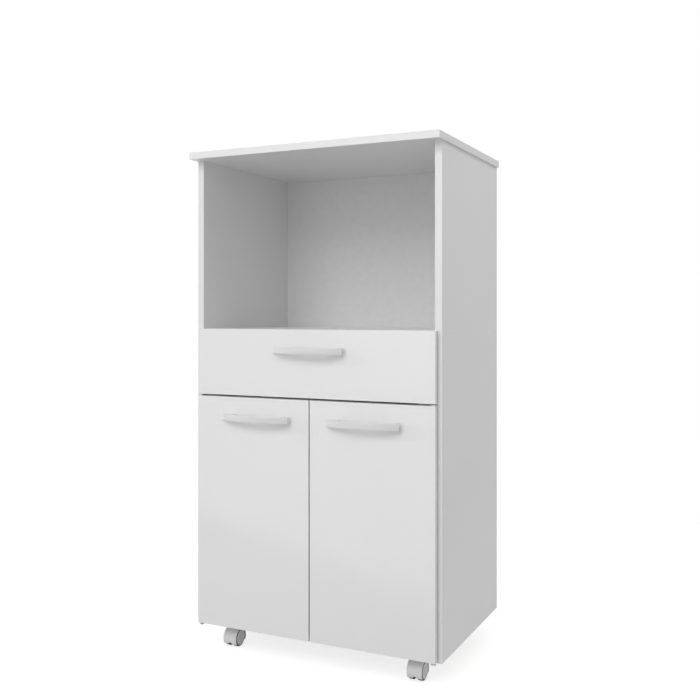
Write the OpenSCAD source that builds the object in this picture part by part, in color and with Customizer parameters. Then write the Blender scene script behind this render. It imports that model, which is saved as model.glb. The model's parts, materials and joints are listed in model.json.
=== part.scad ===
// Microwave cart: open niche, one drawer, two doors, four hooded twin-wheel castors.
// Millimetres, +Z up, +X to the right and +Y to the back as seen from the front.
// The origin lies on the floor, under the middle of the whole object.

/* [Cabinet] */
// Width over the side panels
carcass_w = 590; // [560:5:640]
// Depth of the side panels
side_d = 387; // [382:1:430]
// Height of the side panels
side_h = 1053.5; // [1040:0.5:1100]
// Thickness of the side panels
side_t = 15; // [15:0.5:18]
// Thickness of the niche shelf, bottom board, divider rail and loose shelf
board_t = 15; // [15:0.5:18]
// Thickness of the top board
top_t = 15; // [15:1:25]
// Overhang of the top board past each side panel
top_side_overhang = 5; // [0:1:20]
// Overhang of the top board in front of the side panels
top_front_overhang = 28; // [18:1:36]
// Clear height of the niche
niche_h = 383.5; // [360:0.5:395]
// Depth of the divider rail under the drawer
rail_d = 60; // [50:1:90]
// Thickness of the hardboard back panels
back_t = 3; // [3:0.5:6]
// Distance from a back panel's edge to the outline of the cabinet
back_edge = 2; // [1:0.5:3]

/* [Loose shelf] */
// Height of the loose shelf's underside above the bottom board
loose_shelf_rise = 230; // [200:1:280]
// Distance from the loose shelf's front edge to the front of the side panels
loose_shelf_setback = 22; // [18:1:60]
// Side and rear clearance round the loose shelf
loose_shelf_clear = 1; // [0.5:0.5:2]
// Diameter of the shelf pins
shelf_pin_d = 5; // [4:0.5:6]
// Pitch of the shelf pin holes
pin_pitch = 32; // [25:1:40]

/* [Fronts] */
// Thickness of the drawer front and the doors
front_t = 12; // [12:0.5:15]
// Gap between the fronts and the side panels' front edges
front_gap = 2; // [1.6:0.1:3]
// Width of side panel edge left showing beside the fronts
front_reveal = 9.3; // [6:0.1:10]
// Height of the drawer front
drawer_front_h = 147; // [142:1:165]
// Gap between the drawer front and the doors
drawer_door_gap = 4.4; // [4:0.2:6]
// Gap between the two doors
door_gap = 3; // [1.5:0.5:4]
// Height of the doors' lower edge above the bottom of the cabinet
door_foot = 3; // [2.5:0.5:6]

/* [Handles] */
// Overall length of a handle
handle_len = 167; // [152:1:200]
// Distance between a handle's two screws
handle_pitch = 128; // [96:1:128]
// Height of a handle's band
handle_h = 15; // [12:0.5:20]
// How far a handle stands out from its front
handle_reach = 27; // [24:0.5:32]
// Height of a handle's ends above the front
handle_end_h = 12; // [10:0.5:14]
// Thickness of a handle's band
handle_band_t = 4.5; // [3.5:0.5:6]
// Length of a handle's feet, each centred on its screw
handle_foot = 20; // [14:0.5:22]
// Distance from a front's upper edge down to the middle of its handle
handle_drop = 45; // [35:1:60]
// Distance from a door's meeting edge to the near end of its handle
handle_edge = 44; // [20:0.5:60]

/* [Drawer box] */
// Length of the drawer sides, which is the length of the runners
drawer_l = 350; // [300:10:360]
// Height of the drawer sides
drawer_side_h = 90; // [70:1:95]
// Thickness of the drawer sides and the drawer back
drawer_side_t = 12; // [12:0.5:15]
// Thickness of the drawer bottom
drawer_bottom_t = 3; // [3:0.5:4]
// Height of the drawer bottom above the lower edge of the drawer sides
drawer_bottom_rise = 10; // [8:0.5:14]
// Depth of the grooves that hold the drawer bottom
groove_depth = 5; // [3:0.5:6]
// Height of the drawer sides' lower edge above the drawer front's lower edge
drawer_box_rise = 22; // [18:1:26]

/* [Runners] */
// Width that a runner fills between the side panel and the drawer
runner_w = 12.5; // [12.5:0.1:14]
// Height of the cabinet runner
runner_h = 22.9; // [22.6:0.1:26]
// Thickness of the runners' sheet steel
runner_t = 1.2; // [1:0.1:1.4]
// Diameter of the runner rollers
roller_d = 17; // [15:0.5:17.4]
// Width of the runner rollers
roller_w = 5.6; // [4:0.2:5.8]
// Distance from the side panel's front edge to the front roller's axle
front_roller_y = 30; // [20:1:50]
// Distance from the rear end of the drawer runner to the rear roller's axle
rear_roller_end = 24; // [14:1:40]

/* [Door pivots] */
// Diameter of the pivot pins
pivot_pin_d = 3; // [2.5:0.1:3.2]
// Diameter of the bushes in the doors' edges
pivot_bush_d = 5; // [4.6:0.1:5.6]
// Depth of the bushes in the doors' edges
pivot_bush_l = 9; // [7:0.5:14]
// Thickness of the bushes' flanges
pivot_flange_t = 0.6; // [0.4:0.1:0.7]
// Thickness of the pivot brackets
bracket_t = 1.5; // [1:0.1:2]
// Length of a pivot bracket's screw plate
bracket_l = 34; // [30:1:50]
// Distance that a pivot bracket reaches back under its board
bracket_d = 24; // [20:1:40]
// Clearance between the swinging edge of a door and the side panel
swing_clear = 0.3; // [0.2:0.05:0.5]

/* [Castors] */
// Height of a castor from the floor to the bottom board
castor_h = 58.5; // [58:0.5:70]
// Diameter of the castor wheels
wheel_d = 40; // [36:0.5:41]
// Width over the two wheels of a castor
castor_w = 34; // [32:0.5:40]
// Distance between a castor's swivel axis and its axle
castor_trail = 15; // [12:0.5:16]
// Distance from the side panels' outer faces to the swivel axes
castor_inset_x = 69.5; // [60:0.5:90]
// Distance from the front and back of the side panels to the swivel axes
castor_inset_y = 60; // [50:1:72]
// Thickness of the hood's shell
hood_t = 1.3; // [1:0.1:2]
// Gap between the wheels and the hood
hood_clear = 0.45; // [0.3:0.05:0.8]
// Thickness of the web between the two wheels
hood_web_t = 8; // [7:0.5:10]
// Thickness of the wheels' treads
tread_t = 2.4; // [1.6:0.1:3]
// Side of the square mounting plate
plate_side = 42; // [40:1:50]
// Spacing of the mounting plate's screws
plate_screw_pitch = 32; // [30:0.5:38]
// Thickness of the mounting plate
plate_t = 2; // [1.5:0.1:3]
// Diameter of the swivel stem
stem_d = 8; // [7:0.5:9]
// Diameter of the wheel axle
axle_d = 5; // [4:0.5:6]

/* [Hidden] */
$fn = 48;

LEFT = -1;
RIGHT = 1;
FRONT = -1;
REAR = 1;

// Colours
WHITE = [0.93, 0.93, 0.93];
HANDLE_GREY = [0.82, 0.82, 0.82];
STEEL = [0.70, 0.70, 0.72];
WHITE_STEEL = [0.90, 0.90, 0.90];
BEECH = [0.80, 0.66, 0.47];
NYLON = [0.88, 0.88, 0.86];
TREAD_GREY = [0.45, 0.45, 0.46];

// Clearances
fit = 0.05;          // radial play of a shaft in its bore
end_gap = 1;         // free depth past the end of a screw or dowel
cut = 1;             // extra length of a cutting body

// Heights above the bottom of the cabinet, which is the in_cabinet frame's floor
shelf_top = side_h - niche_h;
shelf_bottom = shelf_top - board_t;
drawer_front_z = shelf_top - drawer_front_h;
door_top = drawer_front_z - drawer_door_gap;
bracket_lift = 0.8;  // gap between a door's upper edge and its bracket
rail_top = door_top + bracket_lift;
rail_bottom = rail_top - board_t;
drawer_box_z = drawer_front_z + drawer_box_rise;
loose_shelf_z = board_t + loose_shelf_rise;

// Widths
panel_out = -carcass_w / 2;             // outer face of the left side panel
panel_in = panel_out + side_t;          // inner face of the left side panel
inner_w = carcass_w - 2 * side_t;
fronts_w = carcass_w - 2 * front_reveal;
door_w = (fronts_w - door_gap) / 2;
drawer_w = inner_w - 2 * runner_w;

// Depths, from the front edges of the side panels
front_back = -front_gap;                // back face of the fronts
front_face = front_back - front_t;      // show face of the fronts
drawer_end = front_back + drawer_l;

// Place of the cabinet on its floor
overall_front = max(handle_reach - front_face, top_front_overhang);
cabinet_y = -(side_d + back_t - overall_front) / 2;

// ---------------------------------------------------------------- frames and helpers

// The cabinet's own frame: the middle of the front edge of its underside.
module in_cabinet() translate([0, cabinet_y, castor_h]) children();

// What is drawn for the left side, mirrored where the right side is asked for.
module on_side(side) {
    if (side == LEFT) children();
    else mirror([1, 0, 0]) children();
}

// A drawing in the X-Z plane, carried from y0 back to y1.
module along_y(y0, y1)
    translate([0, y1, 0]) rotate([90, 0, 0]) linear_extrude(y1 - y0) children();

// A cylinder that starts at the origin and runs along +X, +Y or -Z.
module rod_x(r, l) rotate([0, 90, 0]) cylinder(r = r, h = l);
module rod_y(r, l) rotate([-90, 0, 0]) cylinder(r = r, h = l);
module rod_down(r, l) translate([0, 0, -l]) cylinder(r = r, h = l);

// A board between two corners.
module board(low, high) translate(low) cube(high - low);

// ---------------------------------------------------------------- fasteners

// Confirmat screw: pointing down, its head level with z = 0.
confirmat_l = 50;
confirmat_head_r = 5;
confirmat_cone_h = 2.5;
confirmat_shank_r = 3.5;
confirmat_core_r = 2.5;
confirmat_socket_r = 2;
confirmat_socket_h = 2.5;

module confirmat_body(shank_l, grow, extra) {
    rotate_extrude() polygon([
        [0, 0], [confirmat_head_r + grow, 0], [confirmat_shank_r + grow, -confirmat_cone_h],
        [confirmat_shank_r + grow, -shank_l], [confirmat_core_r + grow, -shank_l],
        [confirmat_core_r + grow, -confirmat_l - extra], [0, -confirmat_l - extra]]);
}
module confirmat(shank_l) difference() {
    confirmat_body(shank_l, 0, 0);
    translate([0, 0, -confirmat_socket_h])
        cylinder(r = confirmat_socket_r, h = confirmat_socket_h + cut, $fn = 6);
}
module confirmat_bore(shank_l) confirmat_body(shank_l, fit, end_gap);

// Pan-head wood screw: pointing down, the underside of its head at z = 0.
wood_screw_l = 13;
wood_screw_r = 1.5;
wood_head_r = 3;
wood_head_h = 1.5;
wood_head_top_r = 2.1;   // flat on top of the head
wood_head_rim_h = 0.7;   // height at which the head's dome begins
screw_hole_play = 0.3;   // radial play of a wood screw in the sheet that it holds
screw_hole_r = wood_screw_r + screw_hole_play;

module wood_screw(l = wood_screw_l) {
    rotate_extrude() polygon([
        [0, wood_head_h], [wood_head_top_r, wood_head_h], [wood_head_r, wood_head_rim_h],
        [wood_head_r, 0], [wood_screw_r, 0], [wood_screw_r, wood_screw_r - l], [0, -l]]);
}
module wood_screw_pilot(l = wood_screw_l) rod_down(wood_screw_r + fit, l + end_gap / 2);

// Countersunk screw: pointing down, its head level with z = 0.
flat_head_h = 1.7;
module flat_screw(l, grow = 0, extra = 0) {
    rotate_extrude() polygon([[0, 0], [wood_head_r + grow, 0], [wood_screw_r + grow, -flat_head_h],
        [wood_screw_r + grow, -l - extra], [0, -l - extra]]);
}
module flat_screw_bore(l) flat_screw(l, fit, end_gap);

// Wooden dowel, centred on the origin along Z.
dowel_r = 4;
dowel_l = 30;
dowel_in_face = 10;      // depth that a dowel reaches into a board's face

module dowel_bore() translate([0, 0, -dowel_l / 2 - end_gap])
    cylinder(r = dowel_r + fit, h = dowel_l + 2 * end_gap);
module dowel() translate([0, 0, -dowel_l / 2]) {
    chamfer = 1;
    rotate_extrude() polygon([
        [0, 0], [dowel_r - chamfer, 0], [dowel_r, chamfer], [dowel_r, dowel_l - chamfer],
        [dowel_r - chamfer, dowel_l], [0, dowel_l]]);
}

// Cam lock and its bolt. The bolt runs along +X from the face of the board it is screwed
// into; the cam's open face is on top of the frame, at height rise over the bolt.
cam_r = 7.5;
bolt_thread_r = 2.5;
bolt_shank_r = 2.2;
bolt_head_r = 3.2;
bolt_head_l = 3;
bolt_bore_r = 4;
bolt_head_play = 0.3;    // play of the bolt's head in the cam
cam_slot_l = 9;          // length of the cam's driver slots
cam_slot_w = 2;
cam_slot_depth = 2;

module cam_bolt(thread_l, reach) {
    translate([-thread_l, 0, 0]) rod_x(bolt_thread_r, thread_l);
    rod_x(bolt_shank_r, reach);
    translate([reach - bolt_head_l / 2, 0, 0]) rod_x(bolt_head_r, bolt_head_l);
}
module cam_disc(reach, rise, h) translate([reach, 0, rise - h]) difference() {
    cylinder(r = cam_r, h = h);
    translate([-cam_r - cut, 0, h - rise])
        rod_x(bolt_head_r + bolt_head_play, cam_r + bolt_head_l + cut);
    translate([0, 0, h]) {
        cube([cam_slot_l, cam_slot_w, 2 * cam_slot_depth], center = true);
        cube([cam_slot_w, cam_slot_l, 2 * cam_slot_depth], center = true);
    }
}
module cam_thread_bore(thread_l) translate([-thread_l - end_gap / 2, 0, 0])
    rod_x(bolt_thread_r + fit, thread_l + end_gap / 2 + cut);
module cam_board_bores(reach, rise, h) {
    translate([-cut, 0, 0]) rod_x(bolt_bore_r, cut + reach);
    translate([reach, 0, rise - h - fit]) cylinder(r = cam_r + fit, h = h + fit + cut);
}

// ---------------------------------------------------------------- places of the fasteners
// Each place is a module that moves its children there. A board takes its holes from the
// same places as the fasteners that go through it.

panel_screw_y = 55;      // front and rear distance of the side panels' screws
dowel_from_screw = 45;   // distance from a screw to the dowel beside it

function front_and_rear(inset) = [inset, side_d - inset];

module shelf_screw_places(side) on_side(side) for (y = front_and_rear(panel_screw_y))
    translate([panel_out, y, shelf_top - board_t / 2]) rotate([0, -90, 0]) children();

module top_screw_places(side) on_side(side) for (y = front_and_rear(panel_screw_y))
    translate([panel_out + side_t / 2, y, side_h + top_t]) children();

module top_dowel_places(side) on_side(side) for (y = front_and_rear(panel_screw_y + dowel_from_screw))
    translate([panel_out + side_t / 2, y, side_h + dowel_in_face - dowel_l / 2]) children();

// Distance of the rail's dowel from its front edge, and of its cam from its rear edge
rail_fitting_y = 20;
module side_dowel_places(side) on_side(side) {
    into_board = panel_in + dowel_l / 2 - dowel_in_face;
    heights = [shelf_top - board_t / 2, board_t / 2];
    for (y = front_and_rear(panel_screw_y + dowel_from_screw), z = heights)
        translate([into_board, y, z]) rotate([0, 90, 0]) children();
    translate([into_board, rail_fitting_y, rail_top - board_t / 2]) rotate([0, 90, 0]) children();
}

cam_reach = 24;          // distance from a board's end to the middle of its cam
cam_thread_l = 11;
cam_h = 12.4;
module cam_places(side) on_side(side) {
    for (y = front_and_rear(panel_screw_y + 2 * dowel_from_screw))
        translate([panel_in, y, board_t / 2]) mirror([0, 0, 1]) children();
    translate([panel_in, rail_d - rail_fitting_y, rail_top - board_t / 2]) mirror([0, 0, 1]) children();
}

pin_from_edge = 40;      // distance of the shelf pins from the loose shelf's front and rear edges
pin_hole_depth = 9;
spare_holes = 2;         // spare pin holes above and below the ones in use
module pin_places(side, steps = [0]) on_side(side) {
    rows = [loose_shelf_setback + pin_from_edge, side_d - loose_shelf_clear - pin_from_edge];
    for (y = rows, i = steps)
        translate([panel_in, y, loose_shelf_z - shelf_pin_d / 2 + i * pin_pitch]) children();
}

nail_r = 0.8;
nail_l = 18;
nail_head_r = 2;
nail_head_t = 0.8;
nail_span = 160;         // largest distance between two nails
nail_end = 28;           // distance from a corner to the first nail of a row
nail_from_seam = 3.5;    // distance of the nails from the seam between the two back panels
back_seam = shelf_top - board_t / 2;
seam_gap = 1;            // gap between the two back panels
// Evenly spaced nail positions between two ends.
function nail_row(a, b) = let (n = ceil((b - a) / nail_span)) [for (i = [0:n]) a + (b - a) * i / n];
module side_nail_places() for (side = [LEFT, RIGHT]) on_side(side) {
    low_row = nail_row(nail_end, back_seam - nail_end);
    high_row = nail_row(back_seam + nail_end, side_h - nail_end);
    for (z = concat(low_row, high_row))
        translate([panel_out + side_t / 2, side_d + back_t, z]) rotate([-90, 0, 0]) children();
}
module board_nail_places() {
    seam_rows = [back_seam - nail_from_seam, back_seam + nail_from_seam];
    row_end = -panel_in - 2 * nail_end;
    for (z = concat([board_t / 2, side_h + top_t / 4], seam_rows), x = nail_row(-row_end, row_end))
        translate([x, side_d + back_t, z]) rotate([-90, 0, 0]) children();
}
module nail() {
    rod_down(nail_r, nail_l);
    rod_down(nail_head_r, nail_head_t);
}
module nail_bore() {
    rod_down(nail_r + fit, nail_l + end_gap / 2);
    translate([0, 0, cut]) rod_down(nail_head_r + fit, nail_head_t + cut);
}

// ---------------------------------------------------------------- cabinet boards

module top_board() color(WHITE) in_cabinet() difference() {
    board([panel_out - top_side_overhang, -top_front_overhang, side_h],
        [-panel_out + top_side_overhang, side_d, side_h + top_t]);
    for (side = [LEFT, RIGHT]) {
        top_screw_places(side) confirmat_bore(top_t);
        top_dowel_places(side) dowel_bore();
    }
    board_nail_places() nail_bore();
}

module side_panel(side) color(WHITE) in_cabinet() difference() {
    on_side(side) board([panel_out, 0, 0], [panel_in, side_d, side_h]);
    shelf_screw_places(side) confirmat_bore(side_t);
    top_screw_places(side) confirmat_bore(top_t);
    top_dowel_places(side) dowel_bore();
    side_dowel_places(side) dowel_bore();
    cam_places(side) cam_thread_bore(cam_thread_l);
    pin_places(side, [-spare_holes:spare_holes]) translate([-pin_hole_depth - end_gap / 2, 0, 0])
        rod_x(shelf_pin_d / 2 + fit, pin_hole_depth + end_gap / 2 + cut);
    cabinet_runner_screw_places(side) wood_screw_pilot();
    side_nail_places() nail_bore();
}

module niche_shelf() color(WHITE) in_cabinet() difference() {
    board([panel_in, 0, shelf_bottom], [-panel_in, side_d, shelf_top]);
    for (side = [LEFT, RIGHT]) {
        shelf_screw_places(side) confirmat_bore(side_t);
        side_dowel_places(side) dowel_bore();
    }
    board_nail_places() nail_bore();
}

module bottom_board() color(WHITE) in_cabinet() difference() {
    board([panel_in, 0, 0], [-panel_in, side_d, board_t]);
    for (side = [LEFT, RIGHT]) {
        side_dowel_places(side) dowel_bore();
        cam_places(side) cam_board_bores(cam_reach, board_t / 2, cam_h);
        bottom_bracket_screw_places(side) wood_screw_pilot();
    }
    castor_places() plate_screw_places() mirror([0, 0, 1]) wood_screw_pilot();
    board_nail_places() nail_bore();
}

module divider_rail() color(WHITE) in_cabinet() difference() {
    board([panel_in, 0, rail_bottom], [-panel_in, rail_d, rail_top]);
    for (side = [LEFT, RIGHT]) {
        side_dowel_places(side) dowel_bore();
        cam_places(side) cam_board_bores(cam_reach, board_t / 2, cam_h);
        top_bracket_screw_places(side) wood_screw_pilot();
    }
    catch_screw_places() wood_screw_pilot();
}

module loose_shelf() color(WHITE) in_cabinet()
    board([panel_in + loose_shelf_clear, loose_shelf_setback, loose_shelf_z],
        [-panel_in - loose_shelf_clear, side_d - loose_shelf_clear, loose_shelf_z + board_t]);

module shelf_pins() color(STEEL) in_cabinet() {
    reach = 8;           // length of a pin in front of the panel
    collar_t = 1;
    collar_w = 1;
    collar_r = shelf_pin_d / 2 + collar_w;
    for (side = [LEFT, RIGHT]) pin_places(side) {
        translate([-pin_hole_depth, 0, 0]) rod_x(shelf_pin_d / 2, pin_hole_depth + reach);
        // The collar is cut level with the top of the pin, on which the shelf lies
        intersection() {
            rod_x(collar_r, collar_t);
            translate([0, -collar_r, -collar_r])
                cube([collar_t, 2 * collar_r, collar_r + shelf_pin_d / 2]);
        }
    }
}

module back_panel(low, high) color(WHITE) in_cabinet() difference() {
    board([panel_out + back_edge, side_d, low], [-panel_out - back_edge, side_d + back_t, high]);
    side_nail_places() nail_bore();
    board_nail_places() nail_bore();
}
module niche_back_panel() back_panel(back_seam + seam_gap / 2, side_h + top_t / 2);
module cupboard_back_panel() back_panel(back_edge, back_seam - seam_gap / 2);

module panel_screws() color(STEEL) in_cabinet() for (side = [LEFT, RIGHT]) {
    shelf_screw_places(side) confirmat(side_t);
    top_screw_places(side) confirmat(top_t);
}

module panel_dowels() color(BEECH) in_cabinet() for (side = [LEFT, RIGHT]) {
    top_dowel_places(side) dowel();
    side_dowel_places(side) dowel();
}

module cam_fittings() color(STEEL) in_cabinet() for (side = [LEFT, RIGHT]) cam_places(side) {
    cam_bolt(cam_thread_l, cam_reach);
    cam_disc(cam_reach, board_t / 2, cam_h);
}

module back_nails() color(STEEL) in_cabinet() {
    side_nail_places() nail();
    board_nail_places() nail();
}

module fitting_screws() color(STEEL) in_cabinet() {
    for (side = [LEFT, RIGHT]) {
        cabinet_runner_screw_places(side) translate([0, 0, runner_t]) wood_screw();
        top_bracket_screw_places(side) translate([0, 0, bracket_t]) wood_screw();
        bottom_bracket_screw_places(side) translate([0, 0, bracket_t]) wood_screw();
    }
    catch_screw_places() translate([0, 0, catch_foot_t]) wood_screw();
    castor_places() plate_screw_places() translate([0, 0, -plate_t]) mirror([0, 0, 1]) wood_screw();
}

// ---------------------------------------------------------------- runners
// Heights below are above the runner's lower face, distances across are from the side panel.

runner_drop = 4;                         // how far the cabinet runner reaches under the drawer side
runner_z = drawer_box_z - runner_drop;   // lower face of the cabinet runner
runner_setback = 2;                      // distance from the cabinet's front edge to the runner
runner_lip_h = 3;
track_gap = 0.3;                         // gap between the two runners, beside the lip
roller_play = 0.2;                       // gap between a roller and the sheet that it runs on
roller_free = 0.8;                       // gap between a roller and the sheet on its other side
roller_r = roller_d / 2;
roller_x = 3.4;                          // near face of the rollers
roller_pin_r = 2;
roller_recess = 1.2;                     // depth of the recess round a pin's head
pin_head_r = 3;
pin_head_t = 0.8;
pin_play = 0.1;                          // gap between a roller and its pin's head or shoulder
lip_to_guard = 2.7;                      // distance from the lip back to the upper flange's edge
flange_reach = 0.4;                      // how far the drawer runner's flange passes the roller
runner_leg_w = 9;                        // width of the drawer runner's leg under the drawer side
// Underside of the drawer runner's flange
flange_z = runner_t + roller_play + roller_d + roller_free;
front_roller_z = flange_z - roller_play - roller_r;
rear_roller_z = runner_t + roller_play + roller_r;
rear_roller_y = drawer_end - rear_roller_end;
web_x = runner_w - runner_t;             // outer face of the drawer runner's web
track_x = web_x - track_gap;             // inner edge of the cabinet runner's lower flange
runner_screw_end = 40;                   // distance from a runner's ends to its first and last screws
function runner_screw_rows(a, b) = [a + runner_screw_end, (a + b) / 2, b - runner_screw_end];

module at_runner(side) on_side(side) translate([panel_in, 0, runner_z]) children();

module cabinet_runner_screw_places(side) at_runner(side)
    for (y = runner_screw_rows(front_roller_y, runner_setback + drawer_l))
        translate([0, y, runner_h / 2]) rotate([0, 90, 0]) children();

module runner_screw_hole() translate([0, 0, -cut]) cylinder(r = screw_hole_r, h = runner_t + 2 * cut);

// A pin on a web, with its shoulder before the roller's near face and its head in the far one.
module roller_pin(near, far) {
    rod_x(pin_head_r, near - pin_play);
    rod_x(roller_pin_r, far - roller_recess + pin_play);
    translate([far - roller_recess + pin_play, 0, 0]) rod_x(pin_head_r, pin_head_t);
}

module cabinet_runner(side) color(WHITE_STEEL) in_cabinet() difference() {
    guard_x = track_x - lip_to_guard;    // inner edge of the upper flange
    at_runner(side) {
        along_y(runner_setback, runner_setback + drawer_l) polygon([
            [0, 0], [track_x, 0], [track_x, runner_t + runner_lip_h],
            [track_x - runner_t, runner_t + runner_lip_h], [track_x - runner_t, runner_t],
            [runner_t, runner_t], [runner_t, runner_h - runner_t], [guard_x, runner_h - runner_t],
            [guard_x, runner_h], [0, runner_h]]);
        translate([0, front_roller_y, front_roller_z]) roller_pin(roller_x, roller_x + roller_w);
    }
    cabinet_runner_screw_places(side) runner_screw_hole();
}

// A roller from x = 0, with the recess for its pin's head in the far face.
module roller() difference() {
    rod_x(roller_r, roller_w);
    translate([-cut, 0, 0]) rod_x(roller_pin_r + fit, roller_w + 2 * cut);
    translate([roller_w - roller_recess, 0, 0])
        rod_x(pin_head_r + 2 * pin_play, roller_recess + cut);
}

module front_rollers() color(NYLON) in_cabinet() for (side = [LEFT, RIGHT])
    at_runner(side) translate([roller_x, front_roller_y, front_roller_z]) roller();

module rear_rollers() color(NYLON) in_cabinet() for (side = [LEFT, RIGHT])
    at_runner(side) translate([roller_x + roller_w, rear_roller_y, rear_roller_z])
        mirror([1, 0, 0]) roller();

drawer_runner_screw_rise = 7;            // height of the screws above the drawer side's lower edge
module drawer_runner_screw_places(side) at_runner(side)
    for (y = runner_screw_rows(front_back, rear_roller_y))
        translate([runner_w, y, runner_drop + drawer_runner_screw_rise]) rotate([0, -90, 0]) children();

module drawer_runner(side) color(WHITE_STEEL) in_cabinet() difference() {
    leg_x = runner_w + runner_leg_w;
    leg_z = runner_drop - runner_t;
    flange_x = roller_x - flange_reach;  // outer edge of the flange over the front roller
    at_runner(side) {
        along_y(front_back, drawer_end) polygon([
            [web_x, leg_z], [leg_x, leg_z], [leg_x, runner_drop],
            [runner_w, runner_drop], [runner_w, flange_z + runner_t], [flange_x, flange_z + runner_t],
            [flange_x, flange_z], [web_x, flange_z]]);
        translate([runner_w, rear_roller_y, rear_roller_z]) mirror([1, 0, 0])
            roller_pin(runner_w - roller_x - roller_w, runner_w - roller_x);
    }
    drawer_runner_screw_places(side) runner_screw_hole();
}

// ---------------------------------------------------------------- drawer box

drawer_out = -drawer_w / 2;              // outer face of the left drawer side
drawer_in = drawer_out + drawer_side_t;
drawer_bottom_z = drawer_box_z + drawer_bottom_rise;
groove_play = 0.1;                       // play of the drawer bottom in its grooves
tongue = groove_depth - groove_play;     // depth that the drawer bottom reaches into its grooves
drawer_screw_l = 10;                     // length of the screws that hold the drawer runners

module drawer_groove() board([drawer_in - groove_depth, front_back - groove_depth, drawer_bottom_z],
    [-drawer_in + groove_depth, drawer_end + cut, drawer_bottom_z + drawer_bottom_t + groove_play]);

drawer_cam_h = 9;
drawer_cam_thread_l = 8;
drawer_fitting_low = 32;                 // height of the lower cam and screw above the box's lower edge
drawer_fitting_high = 20;                // distance of the upper cam and screw under its upper edge
drawer_fitting_heights = [drawer_fitting_low, drawer_side_h - drawer_fitting_high];
// Frame of each drawer cam: the bolt runs back from the drawer front, the cam opens inwards.
module drawer_cam_places(side) on_side(side) for (z = drawer_fitting_heights)
    translate([drawer_in - drawer_side_t / 2, front_back, drawer_box_z + z])
        rotate([0, 0, 90]) rotate([90, 0, 0]) children();

drawer_back_screw_l = 35;
module drawer_back_screw_places(side) on_side(side) for (z = drawer_fitting_heights)
    translate([drawer_out, drawer_end - drawer_side_t / 2, drawer_box_z + z])
        rotate([0, -90, 0]) children();

module drawer_side(side) color(WHITE) in_cabinet() difference() {
    on_side(side) board([drawer_out, front_back, drawer_box_z],
        [drawer_in, drawer_end, drawer_box_z + drawer_side_h]);
    drawer_groove();
    drawer_cam_places(side) cam_board_bores(cam_reach, drawer_side_t / 2, drawer_cam_h);
    drawer_back_screw_places(side) flat_screw_bore(drawer_back_screw_l);
    drawer_runner_screw_places(side) wood_screw_pilot(drawer_screw_l);
}

module drawer_back() color(WHITE) in_cabinet() difference() {
    board([drawer_in, drawer_end - drawer_side_t, drawer_bottom_z + drawer_bottom_t + groove_play],
        [-drawer_in, drawer_end, drawer_box_z + drawer_side_h]);
    for (side = [LEFT, RIGHT]) drawer_back_screw_places(side) flat_screw_bore(drawer_back_screw_l);
}

module drawer_bottom() color(WHITE) in_cabinet()
    board([drawer_in - tongue, front_back - tongue, drawer_bottom_z],
        [-drawer_in + tongue, drawer_end - groove_play, drawer_bottom_z + drawer_bottom_t]);

module drawer_front() color(WHITE) in_cabinet() difference() {
    board([-fronts_w / 2, front_face, drawer_front_z], [fronts_w / 2, front_back, shelf_top]);
    drawer_groove();
    for (side = [LEFT, RIGHT]) drawer_cam_places(side) cam_thread_bore(drawer_cam_thread_l);
    drawer_handle_place() handle_screw_places() handle_screw_bore();
}

module drawer_cam_fittings() color(STEEL) in_cabinet() for (side = [LEFT, RIGHT])
    drawer_cam_places(side) {
        cam_bolt(drawer_cam_thread_l, cam_reach);
        cam_disc(cam_reach, drawer_side_t / 2, drawer_cam_h);
    }

module drawer_screws() color(STEEL) in_cabinet() {
    for (side = [LEFT, RIGHT]) {
        drawer_back_screw_places(side) flat_screw(drawer_back_screw_l);
        drawer_runner_screw_places(side) translate([0, 0, runner_t]) wood_screw(drawer_screw_l);
    }
    drawer_handle_place() handle_screw_places() handle_screw();
}

// ---------------------------------------------------------------- handles
// Frame of a handle: X along it, -Y out of the front, the middle of its foot plane at the origin.

handle_screw_r = 2;
handle_screw_in = 6;                     // depth that a screw reaches into a foot
module handle_screw_places() for (side = [LEFT, RIGHT])
    translate([side * handle_pitch / 2, 0, 0]) children();

module handle_screw() {
    head_r = 4;
    head_h = 2;
    translate([0, -handle_screw_in, 0]) rod_y(handle_screw_r, handle_screw_in + front_t);
    translate([0, front_t, 0]) rod_y(head_r, head_h);
}
module handle_screw_bore() translate([0, -handle_screw_in - end_gap / 2, 0])
    rod_y(handle_screw_r + fit, handle_screw_in + end_gap / 2 + front_t + cut);

// The band is a bow between two arcs of one centre, and behind it stand two square feet.
module handle() color(HANDLE_GREY) difference() {
    half = handle_len / 2;
    rise = handle_reach - handle_end_h;
    bow_r = (half * half + rise * rise) / (2 * rise);
    bow_y = bow_r - handle_reach;        // distance of the arcs' centre behind the foot plane
    foot_in = (handle_pitch - handle_foot) / 2;
    foot_out = (handle_pitch + handle_foot) / 2;
    translate([0, 0, -handle_h / 2]) linear_extrude(handle_h) difference() {
        intersection() {
            translate([0, bow_y]) circle(r = bow_r, $fn = 96);
            translate([-half, -handle_reach]) square([handle_len, handle_reach]);
        }
        intersection() {
            translate([0, bow_y]) circle(r = bow_r - handle_band_t, $fn = 96);
            union() {
                translate([-foot_in, -handle_reach]) square([2 * foot_in, handle_reach + cut]);
                for (x = [foot_out, -half - cut])
                    translate([x, -handle_reach]) square([half + cut - foot_out, handle_reach + cut]);
            }
        }
    }
    handle_screw_places() handle_screw_bore();
}

module drawer_handle_place() translate([0, front_face, shelf_top - handle_drop]) children();
module door_handle_place(side) {
    x = side * (door_gap / 2 + handle_edge + handle_len / 2);
    translate([x, front_face, door_top - handle_drop]) children();
}

module drawer_handle() in_cabinet() drawer_handle_place() handle();
module door_handle(side) in_cabinet() door_handle_place(side) handle();

// ---------------------------------------------------------------- doors and their pivots

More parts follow.
